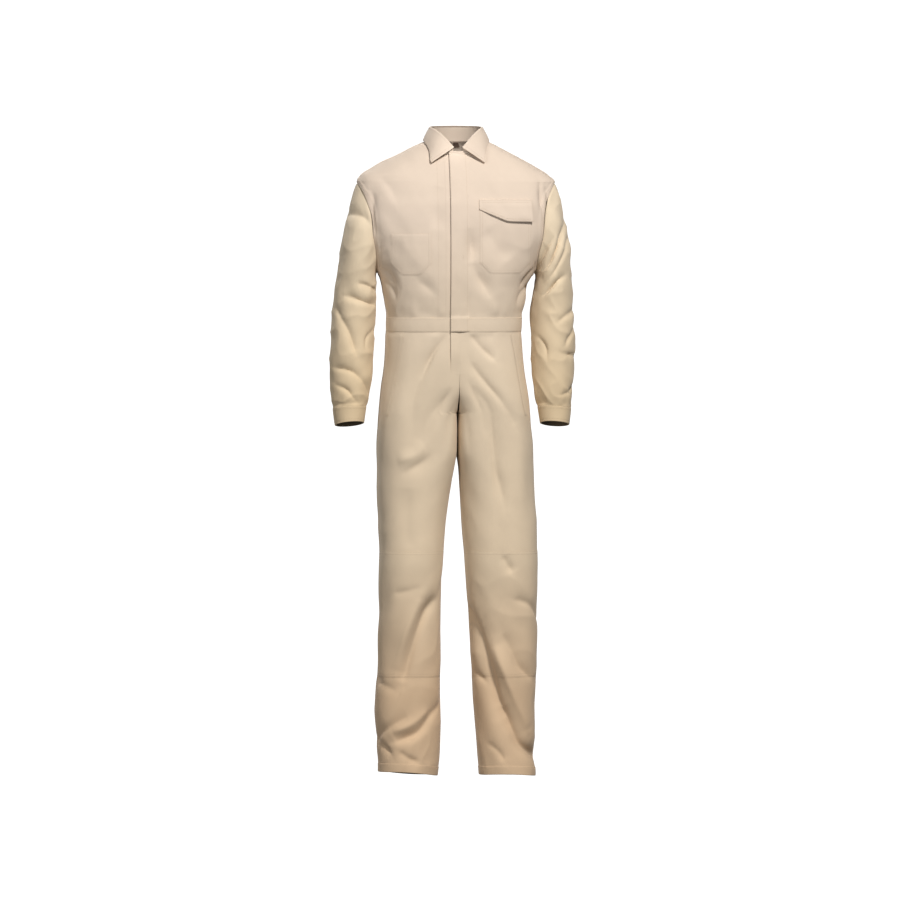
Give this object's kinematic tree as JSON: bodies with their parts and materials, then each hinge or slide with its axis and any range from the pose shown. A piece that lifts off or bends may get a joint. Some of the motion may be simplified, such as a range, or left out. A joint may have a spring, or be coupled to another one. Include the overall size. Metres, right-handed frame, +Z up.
{
  "type": "boiler suit",
  "caption": "Long-sleeved boiler suit in cotton twill with a pointed collar, hidden front closure, chest pockets, waistband, slanted side pockets and knee patches, in its worn shape.",
  "frame": {"origin": "on the wearer's middle line, level with the neck end of the shoulders and between front and back, where the wearer's shoulders hold the suit up", "axes": "+Z up from the hems to the collar, the front faces -Y, +X towards the wearer's left"},
  "size_m": [0.5911, 0.2597, 1.5652],
  "materials": {
    "body_cloth": "matte beige cotton twill",
    "sleeve_cloth": "matte tan cotton twill",
    "label_tape": "dark woven tape"
  },
  "bodies": {
    "root": {"front_right": "body_cloth", "front_left": "body_cloth", "back": "body_cloth", "waistband_front_right": "body_cloth", "waistband_front_left": "body_cloth", "waistband_back": "body_cloth", "collar_stand": "body_cloth", "collar_fall": "body_cloth", "neck_label": "label_tape", "leg_front_right": "body_cloth", "leg_back_right": "body_cloth", "side_pocket_welt_right": "body_cloth", "knee_patch_right": "body_cloth", "leg_front_left": "body_cloth", "leg_back_left": "body_cloth", "side_pocket_welt_left": "body_cloth", "knee_patch_left": "body_cloth", "placket": "body_cloth", "fly_flap": "body_cloth", "chest_pocket_left": "body_cloth", "chest_pocket_flap_left": "body_cloth", "chest_pocket_right": "body_cloth", "sleeve_right": "sleeve_cloth", "cuff_right": "sleeve_cloth", "sleeve_left": "sleeve_cloth", "cuff_left": "sleeve_cloth"}
  },
  "joints": []
}
